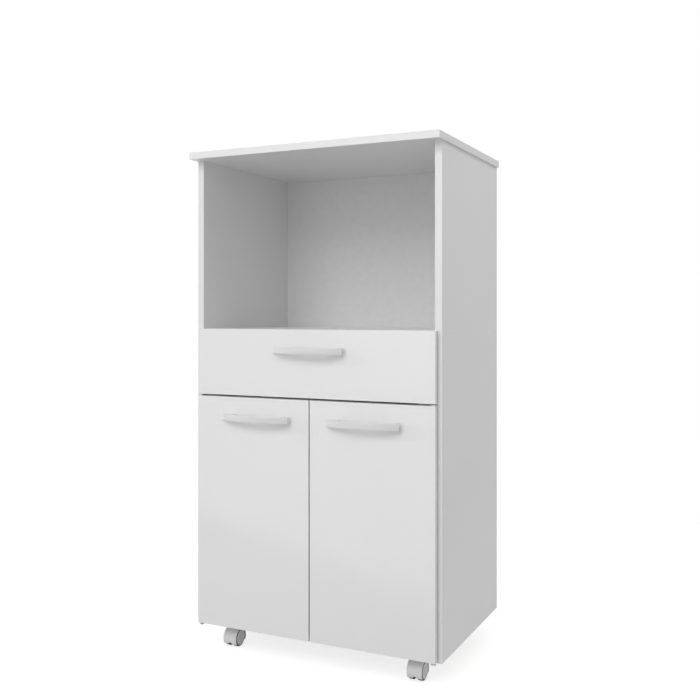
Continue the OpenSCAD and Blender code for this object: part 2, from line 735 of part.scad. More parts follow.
// The pin stands in the middle of the door's thickness, as far from its edge as lets the
// edge swing past the side panel.
pivot_y = front_back - front_t / 2;
pivot_inset = sqrt(pow(front_t / 2 + front_gap - swing_clear, 2) - pow(front_t / 2, 2));
pivot_x = panel_out + front_reveal + pivot_inset;
pin_l = 8;                               // length of a pin inside its bush
bush_flange_w = 0.8;
flange_r = pivot_bush_d / 2 + bush_flange_w;
flange_play = 0.1;                       // gap between a bush's flange and what it turns on

module at_pivot(side, z) on_side(side) translate([pivot_x, pivot_y, z]) children();

module door_panel(side) color(WHITE) in_cabinet() difference() {
    on_side(side) board([-door_gap / 2 - door_w, front_face, door_foot],
        [-door_gap / 2, front_back, door_top]);
    at_pivot(side, door_foot) mirror([0, 0, 1]) bush_bore();
    at_pivot(side, door_top) bush_bore();
    door_handle_place(side) handle_screw_places() handle_screw_bore();
    strike_screw_place(side) flat_screw_bore(strike_screw_l);
}

// Bore for a bush, down into a door's upper edge.
module bush_bore() translate([0, 0, cut])
    rod_down(pivot_bush_d / 2 + fit, pivot_bush_l + end_gap / 2 + cut);

module bush() difference() {
    union() {
        cylinder(r = pivot_bush_d / 2, h = pivot_bush_l);
        rod_down(flange_r, pivot_flange_t);
    }
    translate([0, 0, -pivot_flange_t - cut])
        cylinder(r = pivot_pin_d / 2 + fit, h = pin_l + end_gap / 2 + pivot_flange_t + cut);
}
module door_bushes(side) color(NYLON) in_cabinet() {
    at_pivot(side, door_foot) bush();
    at_pivot(side, door_top) mirror([0, 0, 1]) bush();
}

nose_r = 4.5;                            // radius of a bracket's nose round its pin
plate_play = 0.5;                        // gap between a screw plate and the side panel
plate_x = panel_in + plate_play;         // near edge of a bracket's screw plate
bracket_screw_end = 7;                   // distance of a bracket's screws from its plate's ends
// Outline of a bracket: a screw plate behind the front edge and a round nose in front of it.
module bracket_outline() {
    translate([plate_x, 0]) square([bracket_l, bracket_d]);
    translate([pivot_x, pivot_y]) circle(r = nose_r);
    translate([pivot_x, pivot_y - nose_r])
        square([plate_x + nose_r - pivot_x, nose_r - pivot_y]);
}
module bracket_screw_places() for (x = [bracket_screw_end, bracket_l - bracket_screw_end])
    translate([plate_x + x, bracket_d / 2, 0]) children();
module top_bracket_screw_places(side) on_side(side)
    translate([0, 0, rail_top]) bracket_screw_places() children();
module bottom_bracket_screw_places(side) on_side(side)
    bracket_screw_places() mirror([0, 0, 1]) children();

module bracket_plate() linear_extrude(bracket_t) difference() {
    bracket_outline();
    bracket_screw_places() circle(r = screw_hole_r);
}

module pivot_brackets(side) color(WHITE_STEEL) in_cabinet() {
    shoulder_h = door_foot - pivot_flange_t - flange_play;
    on_side(side) translate([0, 0, -bracket_t]) bracket_plate();
    at_pivot(side, 0) {
        cylinder(r = flange_r, h = shoulder_h);
        cylinder(r = pivot_pin_d / 2, h = door_foot + pin_l);
    }
    on_side(side) translate([0, 0, rail_top]) bracket_plate();
    at_pivot(side, rail_top) rod_down(pivot_pin_d / 2, bracket_lift + pin_l);
}

// Double magnetic catch under the middle of the rail, and a strike plate on each door.
catch_w = 46;
catch_d = 16;
catch_h = 11;
catch_foot_t = 2;
catch_foot_w = 10;
catch_foot_y = 4;                        // distance from the rail's front edge to the catch's feet
magnet_gap = 2;                          // width of the slot between the two magnets
magnet_slot = 3;                         // depth of that slot
strike_w = 16;
strike_t = 0.8;
strike_screw_l = 8;
strike_gap = 0.3;                        // gap between a strike plate and its magnet
strike_x = catch_w / 4;                  // distance of a strike plate's middle from the cabinet's
catch_front = front_back + strike_t + strike_gap;
catch_rear = catch_front + catch_d;

module catch_screw_places() for (side = [LEFT, RIGHT]) on_side(side)
    translate([-catch_w / 2 - catch_foot_w / 2, (catch_foot_y + catch_rear) / 2, rail_bottom])
        mirror([0, 0, 1]) children();

module magnetic_catch() color(NYLON) in_cabinet() difference() {
    foot_end = catch_w / 2 + catch_foot_w;
    union() {
        board([-catch_w / 2, catch_front, rail_bottom - catch_h], [catch_w / 2, catch_rear, rail_bottom]);
        board([-foot_end, catch_foot_y, rail_bottom - catch_foot_t], [foot_end, catch_rear, rail_bottom]);
    }
    catch_screw_places() translate([0, 0, -cut])
        cylinder(r = screw_hole_r, h = catch_foot_t + 2 * cut);
    board([-magnet_gap / 2, catch_front - cut, rail_bottom - catch_h - cut],
        [magnet_gap / 2, catch_front + magnet_slot, rail_bottom + cut]);
}

module strike_screw_place(side) on_side(side)
    translate([-strike_x, front_back + strike_t, rail_bottom - catch_h / 2])
        rotate([-90, 0, 0]) children();

module strike_plate(side) color(STEEL) in_cabinet() difference() {
    on_side(side) board([-strike_x - strike_w / 2, front_back, rail_bottom - catch_h],
        [-strike_x + strike_w / 2, front_back + strike_t, rail_bottom]);
    strike_screw_place(side) flat_screw_bore(strike_screw_l);
}

module door_screws(side) color(STEEL) in_cabinet() {
    strike_screw_place(side) flat_screw(strike_screw_l);
    door_handle_place(side) handle_screw_places() handle_screw();
}

// ---------------------------------------------------------------- castors
// Frame of a castor: its swivel axis, at the underside of the bottom board, wheels towards -Y.

wheel_r = wheel_d / 2;
axle_z = wheel_r - castor_h;
castor_half = castor_w / 2;
hood_inner_r = wheel_r + hood_clear;
hood_outer_r = hood_inner_r + hood_t;
stem_r = stem_d / 2;
axle_r = axle_d / 2;
wheel_gap = 0.8;                         // gap between a wheel and the web beside it
wheel_in = hood_web_t / 2 + wheel_gap;   // inner face of a wheel
cap_t = 1;                               // thickness of a wheel's face outside the axle
axle_play = 0.2;                         // gap between the axle's ends and the wheels' faces
cup_h = 8;                               // depth of the plate's swivel cup under the board
cup_r = 12;
cup_floor = 4.5;                         // thickness of the cup's floor, which the stem's head holds
swivel_play = 0.05;                      // gap between the swivel cup and the hood's neck
stem_head_rim = 2;                       // width of the stem's head round the stem
stem_head_r = stem_r + stem_head_rim;
stem_head_h = 2.6;
stem_head_play = 0.2;                    // gap between the stem's head and the cup's floor
stem_head_room = 0.3;                    // gap round the stem's head in the cup
// Height at which the two wheels' spaces meet the swivel axis
wheel_space_top = axle_z + sqrt(pow(hood_inner_r, 2) - pow(castor_trail, 2));
neck_r = 9;
neck_foot_r = 4.5;                       // radius of the neck at its foot
neck_top = -cup_h - swivel_play;
neck_bottom = axle_z + wheel_r / 2;
neck_taper = 6;                          // height over which the neck narrows at its foot
stem_bottom = wheel_space_top + end_gap;
hood_start = 62;                         // rear lower edge of the hood, in degrees from straight down
hood_sweep = 241;                        // degrees that the hood covers, over the top to the front
// Height of the hood's front lower edge, from the axle
hood_front_z = -hood_outer_r * cos(360 - hood_start - hood_sweep);
arch_r = 4.4;                            // radius of the arch in the hood's front lower edge

module castor_place(lr, fr) {
    x = lr * (-panel_out - castor_inset_x);
    y = side_d / 2 + fr * (side_d / 2 - castor_inset_y);
    translate([x, y, 0]) children();
}
module castor_places() for (lr = [LEFT, RIGHT], fr = [FRONT, REAR]) castor_place(lr, fr) children();
module four_corners(pitch) for (x = [LEFT, RIGHT], y = [FRONT, REAR])
    translate([x * pitch / 2, y * pitch / 2, 0]) children();
module plate_screw_places() four_corners(plate_screw_pitch) children();
module at_axle() translate([0, -castor_trail, axle_z]) children();

module castor_plate() difference() {
    corner_r = 5;
    straight = plate_side - 2 * corner_r;
    union() {
        translate([0, 0, -plate_t]) linear_extrude(plate_t) union() {
            square([plate_side, straight], center = true);
            square([straight, plate_side], center = true);
            four_corners(straight) circle(r = corner_r);
        }
        rod_down(cup_r, cup_h);
    }
    rod_down(stem_r + fit, cup_h + cut);
    translate([0, 0, cut]) rod_down(stem_head_r + stem_head_room, cup_h - cup_floor + cut);
    plate_screw_places() translate([0, 0, cut]) rod_down(screw_hole_r, plate_t + 2 * cut);
}
module castor_plates() color(STEEL) in_cabinet() castor_places() castor_plate();

// Revolved about the axle, from the angle start (0 is straight down, 90 to the rear).
module about_axle(start, sweep) at_axle() rotate([0, 90, 0]) rotate([0, 0, start])
    rotate_extrude(angle = sweep, $fn = 96) children();

module wheel_spaces() at_axle() for (side = [LEFT, RIGHT]) on_side(-side)
    translate([hood_web_t / 2, 0, 0]) rod_x(hood_inner_r, castor_half);

module castor_hood() difference() {
    axle_boss_r = 5;
    rim = 0.8;                           // easing of the hood's rims
    union() {
        about_axle(hood_start, hood_sweep) polygon([
            [hood_inner_r, -castor_half], [hood_outer_r - rim, -castor_half],
            [hood_outer_r, -castor_half + rim], [hood_outer_r, castor_half - rim],
            [hood_outer_r - rim, castor_half], [hood_inner_r, castor_half]]);
        about_axle(hood_start, hood_sweep)
            translate([0, -hood_web_t / 2]) square([hood_inner_r + hood_t / 2, hood_web_t]);
        at_axle() translate([-hood_web_t / 2, 0, 0]) rod_x(axle_boss_r, hood_web_t);
        difference() {
            union() {
                translate([0, 0, neck_bottom + neck_taper])
                    cylinder(r = neck_r, h = neck_top - neck_bottom - neck_taper);
                translate([0, 0, neck_bottom]) cylinder(r1 = neck_foot_r, r2 = neck_r, h = neck_taper);
            }
            wheel_spaces();
        }
    }
    translate([0, 0, stem_bottom - end_gap / 2]) cylinder(r = stem_r + fit, h = -stem_bottom);
    at_axle() translate([-castor_half, 0, 0]) rod_x(axle_r + fit, castor_w);
    at_axle() translate([0, -hood_outer_r, hood_front_z]) rod_y(arch_r, hood_outer_r);
}

module castor_pins() {
    head_z = cup_floor - cup_h + stem_head_play;
    translate([0, 0, stem_bottom]) cylinder(r = stem_r, h = head_z - stem_bottom);
    translate([0, 0, head_z]) cylinder(r = stem_head_r, h = stem_head_h);
    axle_l = castor_w - 2 * (cap_t + axle_play);
    at_axle() translate([-axle_l / 2, 0, 0]) rod_x(axle_r, axle_l);
}

// One wheel of the pair: a dished core with its cap, and the tread ring moulded round it.
module castor_wheel(side) on_side(-side) {
    core_r = wheel_r - tread_t;
    easing = 1.6;                        // rounding of the tread's and the face's rims
    dish = 0.9;
    hub_r = 6.5;
    at_axle() rotate([0, 90, 0]) {
        color(NYLON) difference() {
            rotate_extrude($fn = 96) polygon([
                [0, wheel_in], [core_r, wheel_in], [core_r, castor_half - easing],
                [core_r - easing, castor_half], [core_r - 2 * easing, castor_half - dish],
                [hub_r + dish, castor_half - dish], [hub_r, castor_half], [0, castor_half]]);
            translate([0, 0, wheel_in - cut])
                cylinder(r = axle_r + fit, h = castor_half - cap_t - wheel_in + cut);
        }
        color(TREAD_GREY) rotate_extrude($fn = 96) polygon([
            [core_r, wheel_in], [wheel_r - easing / 2, wheel_in], [wheel_r, wheel_in + easing / 2],
            [wheel_r, castor_half - 2 * easing], [wheel_r - easing / 2, castor_half - easing],
            [core_r, castor_half - easing]]);
    }
}

module hood_at(lr, fr) color(HANDLE_GREY) in_cabinet() castor_place(lr, fr) castor_hood();
module pins_at(lr, fr) color(STEEL) in_cabinet() castor_place(lr, fr) castor_pins();
module inner_wheel_at(lr, fr) in_cabinet() castor_place(lr, fr) castor_wheel(-lr);
module outer_wheel_at(lr, fr) in_cabinet() castor_place(lr, fr) castor_wheel(lr);

// ---------------------------------------------------------------- drawing

top_board();
side_panel(LEFT);  // left_side_panel
side_panel(RIGHT);  // right_side_panel
niche_shelf();
bottom_board();
divider_rail();
loose_shelf();
shelf_pins();
niche_back_panel();
cupboard_back_panel();
panel_screws();
panel_dowels();
cam_fittings();
back_nails();
fitting_screws();
cabinet_runner(LEFT);  // left_cabinet_runner
cabinet_runner(RIGHT);  // right_cabinet_runner
front_rollers();
pivot_brackets(LEFT);  // left_pivot_brackets
pivot_brackets(RIGHT);  // right_pivot_brackets
magnetic_catch();
castor_plates();
drawer_front();
drawer_side(LEFT);  // drawer_left_side
drawer_side(RIGHT);  // drawer_right_side
drawer_back();
drawer_bottom();
drawer_handle();
drawer_runner(LEFT);  // left_drawer_runner
drawer_runner(RIGHT);  // right_drawer_runner
rear_rollers();
drawer_cam_fittings();
drawer_screws();
door_panel(LEFT);  // left_door_panel
door_handle(LEFT);  // left_door_handle
door_bushes(LEFT);  // left_door_bushes
strike_plate(LEFT);  // left_strike_plate
door_screws(LEFT);  // left_door_screws
door_panel(RIGHT);  // right_door_panel
door_handle(RIGHT);  // right_door_handle
door_bushes(RIGHT);  // right_door_bushes
strike_plate(RIGHT);  // right_strike_plate
door_screws(RIGHT);  // right_door_screws
hood_at(LEFT, FRONT);  // front_left_hood
pins_at(LEFT, FRONT);  // front_left_pins
inner_wheel_at(LEFT, FRONT);  // front_left_inner_wheel
outer_wheel_at(LEFT, FRONT);  // front_left_outer_wheel
hood_at(RIGHT, FRONT);  // front_right_hood
pins_at(RIGHT, FRONT);  // front_right_pins
inner_wheel_at(RIGHT, FRONT);  // front_right_inner_wheel
outer_wheel_at(RIGHT, FRONT);  // front_right_outer_wheel
hood_at(LEFT, REAR);  // rear_left_hood
pins_at(LEFT, REAR);  // rear_left_pins
inner_wheel_at(LEFT, REAR);  // rear_left_inner_wheel
outer_wheel_at(LEFT, REAR);  // rear_left_outer_wheel
hood_at(RIGHT, REAR);  // rear_right_hood
pins_at(RIGHT, REAR);  // rear_right_pins
inner_wheel_at(RIGHT, REAR);  // rear_right_inner_wheel
outer_wheel_at(RIGHT, REAR);  // rear_right_outer_wheel
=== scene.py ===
import json
import math

import bpy
import numpy as np
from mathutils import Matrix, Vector


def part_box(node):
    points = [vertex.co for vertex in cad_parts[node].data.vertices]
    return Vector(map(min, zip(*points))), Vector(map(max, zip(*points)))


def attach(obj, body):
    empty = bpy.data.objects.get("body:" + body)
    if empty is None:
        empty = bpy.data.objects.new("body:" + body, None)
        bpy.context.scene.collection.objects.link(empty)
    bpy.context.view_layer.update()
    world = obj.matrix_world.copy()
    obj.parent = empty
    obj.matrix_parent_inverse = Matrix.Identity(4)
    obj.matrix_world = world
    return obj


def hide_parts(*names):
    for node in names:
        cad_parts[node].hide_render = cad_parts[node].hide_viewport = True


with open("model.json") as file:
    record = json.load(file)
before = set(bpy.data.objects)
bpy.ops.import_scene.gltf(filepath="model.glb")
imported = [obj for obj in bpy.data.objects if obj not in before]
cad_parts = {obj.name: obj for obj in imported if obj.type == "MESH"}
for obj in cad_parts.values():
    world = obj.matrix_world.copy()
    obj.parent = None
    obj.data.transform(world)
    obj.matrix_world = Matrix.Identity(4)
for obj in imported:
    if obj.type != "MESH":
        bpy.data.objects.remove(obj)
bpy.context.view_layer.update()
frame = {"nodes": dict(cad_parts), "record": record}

NODES = frame["nodes"]
MM = 0.001


# ---------------------------------------------------------------- materials

WHITE = (0.80, 0.80, 0.80)
FRONT_WHITE = (0.82, 0.82, 0.82)
HANDLE_GREY = (0.715, 0.715, 0.715)
HOOD_GREY = (0.86, 0.86, 0.86)
WHEEL_CORE = (0.78, 0.78, 0.78)
TREAD = (0.10, 0.10, 0.105)
DARK_CHIP, PALE_CHIP = (0.50, 0.38, 0.25), (0.72, 0.60, 0.44)
PALE_BEECH, DARK_BEECH = (0.72, 0.54, 0.36), (0.52, 0.35, 0.21)
COAT_ROUGHNESS = 0.12
TREAD_DEPTH = 3.6 * MM      # how much of a wheel's radius is tread
HUB_RING = 7.2 * MM         # radius of the ring round a wheel's hub
RING_HALF_WIDTH = 0.6 * MM
SAWN_EDGE = 0.2 * MM        # how far above a side panel's lower face its chips still show


def new_material(name, base, roughness, metallic=0.0, coat=0.0):
    """A material whose shader has its steady values set on the shader's own sockets."""
    material = bpy.data.materials.new(name)
    material.use_nodes = True
    shader = material.node_tree.nodes["Principled BSDF"]
    shader.inputs["Base Color"].default_value = (*base, 1.0)
    shader.inputs["Roughness"].default_value = roughness
    shader.inputs["Metallic"].default_value = metallic
    shader.inputs["Coat Weight"].default_value = coat
    shader.inputs["Coat Roughness"].default_value = COAT_ROUGHNESS
    return material, material.node_tree, shader


def object_coordinates(tree, centre=(0, 0, 0), scale=(1, 1, 1)):
    """Object coordinates, moved so that centre is their origin, then scaled."""
    source = tree.nodes.new("ShaderNodeTexCoord")
    mapping = tree.nodes.new("ShaderNodeMapping")
    mapping.inputs["Location"].default_value = [-c * s for c, s in zip(centre, scale)]
    mapping.inputs["Scale"].default_value = scale
    tree.links.new(source.outputs["Object"], mapping.inputs["Vector"])
    return mapping.outputs["Vector"]


def noise(tree, vector, scale, detail=3.0, rough=0.5):
    """Cloudy noise from 0 to 1, with scale cells to the metre."""
    node = tree.nodes.new("ShaderNodeTexNoise")
    node.inputs["Scale"].default_value = scale
    node.inputs["Detail"].default_value = detail
    node.inputs["Roughness"].default_value = rough
    tree.links.new(vector, node.inputs["Vector"])
    return node.outputs["Fac"]


def between(tree, value, low, high, out_low=0.0, out_high=1.0):
    """value from low to high, spread over out_low to out_high and clamped there."""
    node = tree.nodes.new("ShaderNodeMapRange")
    numbers = {"From Min": low, "From Max": high, "To Min": out_low, "To Max": out_high}
    for socket, number in numbers.items():
        node.inputs[socket].default_value = number
    tree.links.new(value, node.inputs["Value"])
    return node.outputs["Result"]


def patches(tree, place, scale, low=0.3, high=0.7, out_low=0.0, out_high=1.0):
    """Soft patches: out_low where the noise is below low, out_high where it is above high."""
    return between(tree, noise(tree, place, scale), low, high, out_low, out_high)


def shaded(colour, share):
    """The same colour with each of its numbers times share."""
    return tuple(number * share for number in colour)


def blend_colours(tree, factor, first, second):
    """The colour first where factor is 0 and second where it is 1."""
    node = tree.nodes.new("ShaderNodeMix")
    node.data_type = "RGBA"
    for socket, colour in ((6, first), (7, second)):
        if isinstance(colour, tuple):
            node.inputs[socket].default_value = (*colour, 1.0)
        else:
            tree.links.new(colour, node.inputs[socket])
    tree.links.new(factor, node.inputs[0])
    return node.outputs[2]


def math_node(tree, operation, first, second):
    """One step of arithmetic on numbers or sockets."""
    node = tree.nodes.new("ShaderNodeMath")
    node.operation = operation
    for socket, value in zip(node.inputs, (first, second)):
        if isinstance(value, (int, float)):
            socket.default_value = value
        else:
            tree.links.new(value, socket)
    return node.outputs["Value"]


def relief(tree, shader, height, depth):
    """Surface relief, depth metres deep where height goes from 0 to 1."""
    node = tree.nodes.new("ShaderNodeBump")
    node.inputs["Strength"].default_value = 1.0
    node.inputs["Distance"].default_value = depth
    tree.links.new(height, node.inputs["Height"])
    tree.links.new(node.outputs["Normal"], shader.inputs["Normal"])


def laminate(name, base, roughness, coat, grain_depth):
    """White laminated board: fine pressed grain, faint clouding of tone and gloss."""
    material, tree, shader = new_material(name, base, roughness, coat=coat)
    place = object_coordinates(tree)
    cloud = between(tree, noise(tree, place, 3.0, detail=2.0), 0.35, 0.65)
    gloss = patches(tree, place, 14.0, out_low=roughness * 0.92, out_high=roughness * 1.08)
    tone = blend_colours(tree, cloud, base, shaded(base, 0.985))
    tree.links.new(tone, shader.inputs["Base Color"])
    tree.links.new(gloss, shader.inputs["Roughness"])
    relief(tree, shader, noise(tree, place, 1400.0, detail=2.0), depth=grain_depth)
    return material


def raw_edge_laminate(name, base, roughness, coat, grain_depth, underside):
    """Laminated board whose sawn lower edge, below the height underside, shows wood chips."""
    material = laminate(name, base, roughness, coat, grain_depth)
    tree = material.node_tree
    shader = tree.nodes["Principled BSDF"]
    whole = shader.inputs["Base Color"].links[0].from_socket
    place = object_coordinates(tree)
    chips = between(tree, noise(tree, place, 420.0, detail=4.0, rough=0.7), 0.35, 0.65)
    chip_colour = blend_colours(tree, chips, DARK_CHIP, PALE_CHIP)
    split = tree.nodes.new("ShaderNodeSeparateXYZ")
    tree.links.new(place, split.inputs[0])
    below = math_node(tree, "LESS_THAN", split.outputs["Z"], underside)
    tree.links.new(blend_colours(tree, below, whole, chip_colour), shader.inputs["Base Color"])
    return material


def hardboard(name, base):
    """Painted hardboard: matt and faintly mottled, with a fine rough grain."""
    material, tree, shader = new_material(name, base, roughness=0.55)
    place = object_coordinates(tree)
    mottled = blend_colours(tree, patches(tree, place, 60.0), base, shaded(base, 0.96))
    tree.links.new(mottled, shader.inputs["Base Color"])
    relief(tree, shader, noise(tree, place, 900.0, rough=0.7), depth=0.04 * MM)
    return material


def moulded(name, base, roughness):
    """Moulded plastic: fine spark-eroded grain and a slight unevenness of tone and gloss."""
    material, tree, shader = new_material(name, base, roughness)
    place = object_coordinates(tree)
    tone = blend_colours(tree, patches(tree, place, 25.0), base, shaded(base, 0.97))
    gloss = patches(tree, place, 60.0, out_low=roughness * 0.9, out_high=roughness * 1.1)
    tree.links.new(tone, shader.inputs["Base Color"])
    tree.links.new(gloss, shader.inputs["Roughness"])
    relief(tree, shader, noise(tree, place, 900.0, detail=2.0), depth=0.02 * MM)
    return material


def metal(name, base, roughness, depth, metallic=1.0):
    """Plated, cast or powder-coated metal: darker patches, and a fine grain that is both
    relief and uneven gloss."""
    material, tree, shader = new_material(name, base, roughness, metallic=metallic)
    place = object_coordinates(tree)
    tone = blend_colours(tree, patches(tree, place, 90.0, low=0.35), base, shaded(base, 0.86))
    grain = noise(tree, place, 700.0)
    gloss = between(tree, grain, 0.3, 0.7, roughness * 0.8, roughness * 1.25)
    tree.links.new(tone, shader.inputs["Base Color"])
    tree.links.new(gloss, shader.inputs["Roughness"])
    relief(tree, shader, grain, depth=depth)
    return material


def beech(name):
    """Raw beech of the dowels, with grain lines along x, their length."""
    material, tree, shader = new_material(name, PALE_BEECH, roughness=0.6)
    along = object_coordinates(tree, scale=(0.12, 1, 1))
    grain = noise(tree, along, 900.0, detail=4.0, rough=0.6)
    tone = blend_colours(tree, between(tree, grain, 0.3, 0.7), PALE_BEECH, DARK_BEECH)
    tree.links.new(tone, shader.inputs["Base Color"])
    relief(tree, shader, grain, depth=0.06 * MM)
    return material


def wheel_finish(name, axle, tread_inner, hub):
    """Castor wheel: satin core, dark soft tread outside the radius tread_inner, and a
    moulded ring at the radius hub. A radius is the length of (y, z) from the axle."""
    material, tree, shader = new_material(name, WHEEL_CORE, roughness=0.4)
    place = object_coordinates(tree, centre=axle)
    flat = tree.nodes.new("ShaderNodeVectorMath")
    flat.operation = "MULTIPLY"
    flat.inputs[1].default_value = (0, 1, 1)
    tree.links.new(place, flat.inputs[0])
    length = tree.nodes.new("ShaderNodeVectorMath")
    length.operation = "LENGTH"
    tree.links.new(flat.outputs["Vector"], length.inputs[0])
    radius = length.outputs["Value"]
    is_tread = math_node(tree, "GREATER_THAN", radius, tread_inner)
    tread = blend_colours(tree, patches(tree, place, 240.0, low=0.35), TREAD, shaded(TREAD, 1.5))
    core = blend_colours(tree, patches(tree, place, 60.0), WHEEL_CORE, shaded(WHEEL_CORE, 0.95))
    tree.links.new(blend_colours(tree, is_tread, core, tread), shader.inputs["Base Color"])
    gloss = between(tree, is_tread, 0, 1, out_low=0.38, out_high=0.75)
    tree.links.new(gloss, shader.inputs["Roughness"])
    ring = math_node(tree, "COMPARE", radius, hub)
    ring.node.inputs[2].default_value = RING_HALF_WIDTH
    grain = math_node(tree, "MULTIPLY", noise(tree, place, 700.0), 0.1)
    relief(tree, shader, math_node(tree, "ADD", grain, ring), depth=0.12 * MM)
    return material


panel_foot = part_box("left_side_panel")[0].z
BOARD = laminate("white_board", WHITE, roughness=0.34, coat=0.0, grain_depth=0.012 * MM)
SIDE_BOARD = raw_edge_laminate("side_board", WHITE, roughness=0.34, coat=0.0,
                               grain_depth=0.012 * MM, underside=panel_foot + SAWN_EDGE)
FRONT = laminate("front_board", FRONT_WHITE, roughness=0.22, coat=0.35, grain_depth=0.004 * MM)
BACK = hardboard("back_board", (0.78, 0.78, 0.78))
HANDLE = moulded("handle_plastic", HANDLE_GREY, roughness=0.34)
HOOD = moulded("hood_plastic", HOOD_GREY, roughness=0.36)
NYLON = moulded("nylon", (0.80, 0.80, 0.77), roughness=0.38)
CATCH = moulded("catch_plastic", (0.78, 0.78, 0.76), roughness=0.42)
STEEL = metal("zinc_plated_steel", (0.66, 0.66, 0.68), roughness=0.32, depth=0.01 * MM)
CAST_ZINC = metal("cast_zinc", (0.60, 0.60, 0.61), roughness=0.42, depth=0.03 * MM)
WHITE_STEEL = metal("white_powder_coat", (0.78, 0.78, 0.77), roughness=0.42, depth=0.02 * MM,
                    metallic=0.0)
DOWEL = beech("dowel_beech")

FINISHES = {
    "white_board": BOARD, "front_board": FRONT, "back_board": BACK, "handle_plastic": HANDLE,
    "hood_plastic": HOOD, "nylon": NYLON, "catch_plastic": CATCH, "steel": STEEL, "zinc": CAST_ZINC,
    "white_steel": WHITE_STEEL, "dowel_wood": DOWEL}


def dress_cad_nodes():
    """Gives every CAD node the finish of its material slot, and each wheel one of its own."""
    slots = {part["node"]: part["material_slot"] for part in frame["record"]["subparts"]}
    for name, node in NODES.items():
        slot = slots[name]
        if slot == "wheel_plastic":
            low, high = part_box(name)
            axle = ((low.x + high.x) / 2, (low.y + high.y) / 2, (low.z + high.z) / 2)
            radius = (high.z - low.z) / 2
            finish = wheel_finish("finish_" + name, axle, radius - TREAD_DEPTH, HUB_RING)
        elif name.endswith("side_panel"):
            finish = SIDE_BOARD
        else:
            finish = FINISHES[slot]
        node.data.materials.clear()
        node.data.materials.append(finish)


def ease_edges(name):
    """Rounds the sharp edges of a CAD node by a small radius."""
    node = NODES[name]
    weld = node.modifiers.new("weld", "WELD")
    weld.merge_threshold = 0.005 * MM
    bevel = node.modifiers.new("bevel", "BEVEL")
    bevel.width = 0.5 * MM
    bevel.segments = 2
    bevel.limit_method = "ANGLE"
    bevel.angle_limit = math.radians(50)
    bevel.use_clamp_overlap = True
    bevel.harden_normals = False


# ---------------------------------------------------------------- handles

HANDLE_PITCH = 128 * MM     # from screw to screw
HANDLE_BAND = 4.5 * MM      # thickness of the bow
HANDLE_FOOT = 20 * MM       # length of each foot
HANDLE_END = 12 * MM        # how far the bow's ends stand out
HANDLE_EDGE = 1.3 * MM      # radius of the upper and lower edges
FOOT_FLARE = 1.2 * MM       # how much wider a foot is, on either side, where it meets the bow


def surface(name, points, material):
    """A mesh from a grid of points, closed round its second direction: row i, column j is
    points[i, j]. Each end row is closed by one flat face."""
    rows, columns = points.shape[:2]
    i = np.arange(rows - 1)[:, None] * columns
    j = np.arange(columns)[None, :]
    k = (j + 1) % columns
    quads = np.stack([i + j, i + k, i + k + columns, i + j + columns], axis=-1).reshape(-1, 4)
    faces = quads.tolist()
    faces.append(list(range(columns - 1, -1, -1)))
    faces.append(list(range((rows - 1) * columns, rows * columns)))
    mesh = bpy.data.meshes.new(name)
    mesh.from_pydata(points.reshape(-1, 3).tolist(), [], faces)
    mesh.materials.append(material)
    mesh.update()
    piece = bpy.data.objects.new(name, mesh)
    bpy.context.scene.collection.objects.link(piece)
    return piece


def round_corner(before, corner, after, radius):
    """The corner of a path as an arc of seven points. The arc touches both legs at the
    distance radius / tan(half the corner's angle) from the corner."""
    a = (before - corner) / np.linalg.norm(before - corner)
    b = (after - corner) / np.linalg.norm(after - corner)
    half = math.acos(float(a @ b)) / 2
    middle = (a + b) / np.linalg.norm(a + b)
    centre = corner + middle * radius / math.sin(half)
    start = corner + a * radius / math.tan(half) - centre
    end = corner + b * radius / math.tan(half) - centre
    whole = math.acos(float(np.clip(start @ end / radius ** 2, -1, 1)))
    t = np.linspace(0, 1, 7)[:, None]
    return centre + (np.sin((1 - t) * whole) * start + np.sin(t * whole) * end) / math.sin(whole)


def bow_outline(length, reach):
    """Half of a bow handle's outline, seen from above, with x >= 0, from the middle of the
    outer arc to the middle of the inner one. Both arcs have one centre. The outer one runs
    through the middle, which stands out by reach, and the end, which stands out by
    HANDLE_END, so its radius is (half^2 + rise^2) / (2 rise). The inner one lies one band
    thickness inside it. The foot stands on y = 0, round its screw. The arcs' points stop a
    few millimetres short of the rounded corners next to them."""
    half = length / 2
    rise = reach - HANDLE_END
    outer = (half * half + rise * rise) / (2 * rise)
    inner = outer - HANDLE_BAND

    def on_arc(radius, x):
        return np.stack([x, np.sqrt(radius ** 2 - x ** 2) - outer + reach], axis=-1)

    foot_in, foot_out = (HANDLE_PITCH - HANDLE_FOOT) / 2, (HANDLE_PITCH + HANDLE_FOOT) / 2
    tip = on_arc(outer, np.array([half]))[0]
    back_tip = on_arc(inner, np.array([half]))[0]
    outer_root = on_arc(inner, np.array([foot_out]))[0]
    inner_root = on_arc(inner, np.array([foot_in]))[0]
    outer_foot = np.array([foot_out - FOOT_FLARE, 0.0])
    inner_foot = np.array([foot_in + FOOT_FLARE, 0.0])
    front = on_arc(outer, np.linspace(0, half - 3 * MM, 40))
    back = on_arc(inner, np.linspace(foot_in - 5 * MM, 0, 30))
    return np.concatenate([
        front,
        round_corner(front[-1], tip, back_tip, radius=1.9 * MM),
        round_corner(tip, back_tip, outer_root, radius=1.6 * MM),
        round_corner(back_tip, outer_root, outer_foot, radius=2.5 * MM),
        outer_foot[None],
        inner_foot[None],
        round_corner(inner_foot, inner_root, back[0], radius=4 * MM),
        back])


